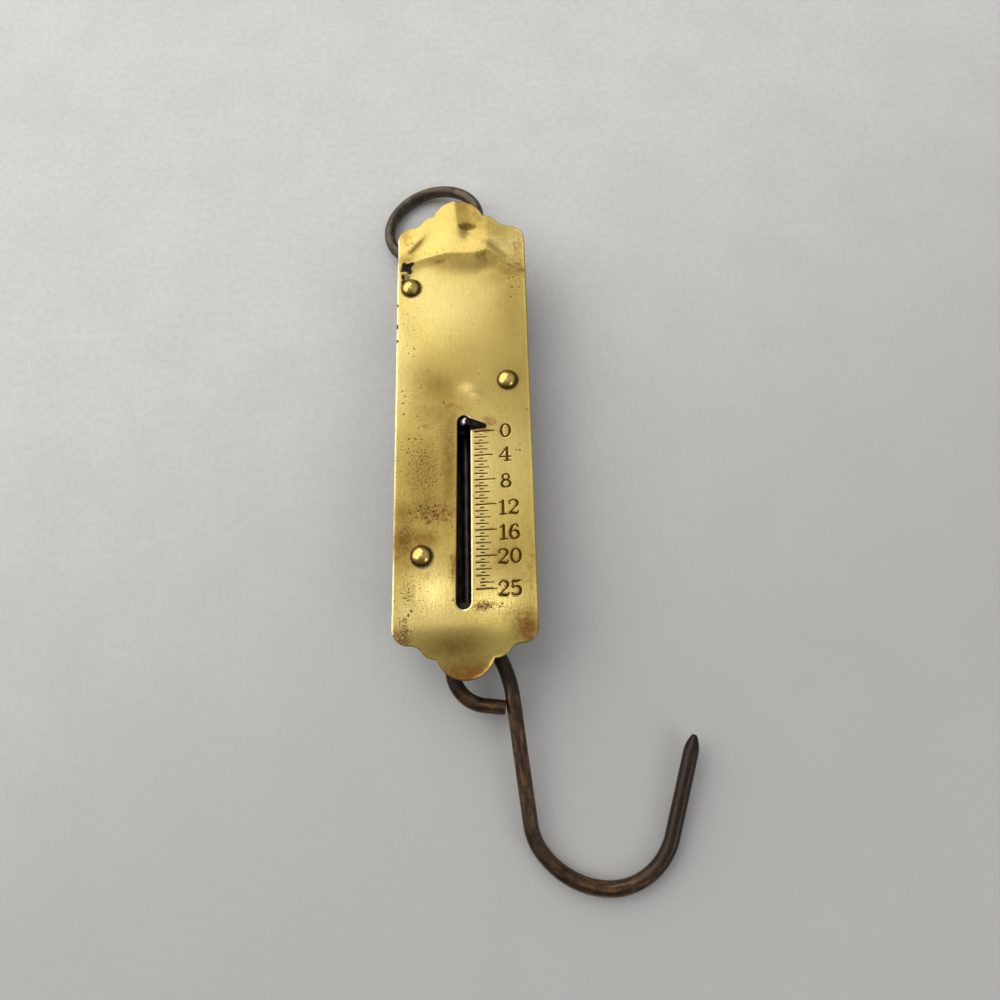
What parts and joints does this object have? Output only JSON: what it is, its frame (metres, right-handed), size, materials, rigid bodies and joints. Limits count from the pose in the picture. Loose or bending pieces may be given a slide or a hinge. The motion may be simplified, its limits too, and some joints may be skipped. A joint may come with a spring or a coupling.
{
  "type": "spring balance",
  "caption": "Flat brass-faced straight spring balance with a slotted scale, sliding pointer, hanging ring and open load hook.",
  "frame": {"origin": "on the flat back of the case, on the table that the balance lies on, at the middle of the face plate's length and width", "axes": "+X to the scale's side of the face, +Y along the balance up to the hanging ring, +Z out of the face"},
  "size_m": [0.0716, 0.1787, 0.0157],
  "materials": {
    "face_brass": "brushed, worn and speckled",
    "rivet_brass": "glossy, domed",
    "inner_brass": "dull, turned",
    "case_steel": "blackened sheet, satin",
    "dark_steel": "dark oxide, satin",
    "hook_steel": "brown patina with worn streaks",
    "spring_steel": "drawn wire"
  },
  "bodies": {
    "case": {"face_plate": "face_brass", "back_case": "case_steel", "face_rivet_1": "rivet_brass", "face_rivet_2": "rivet_brass", "face_rivet_3": "rivet_brass", "rivet_washers": "inner_brass", "head_block": "inner_brass", "head_block_pins": "dark_steel", "suspension_eye": "dark_steel", "eye_nut": "dark_steel", "eye_lock_nut": "dark_steel", "upper_spring_plug": "inner_brass", "extension_spring": "spring_steel", "guide_block": "dark_steel", "guide_block_pins": "dark_steel"},
    "drawbar": {"drawbar": "dark_steel", "drawbar_nut": "dark_steel", "lower_spring_plug": "dark_steel", "pointer": "dark_steel"},
    "hook": {"load_hook": "hook_steel"},
    "ring": {"hanging_ring": "dark_steel"}
  },
  "joints": [
    {"name": "load_slide", "type": "slide", "parent": "case", "child": "drawbar", "axis": [0, -1, 0], "range_m": [0, 0.04], "stiffness_N_per_m": 3000, "springref_m": -0.0005, "deforming": ["extension_spring"]},
    {"name": "hook_swing", "type": "hinge", "parent": "drawbar", "child": "hook", "pos_m": [0, -0.0524, 0.007], "axis": [0.9304, 0.3665, 0], "range_deg": [-27, 90]},
    {"name": "ring_swing", "type": "hinge", "parent": "case", "child": "ring", "pos_m": [0, 0.0517, 0.007], "axis": [0.7314, 0.682, 0], "range_deg": [-70, 29]}
  ]
}
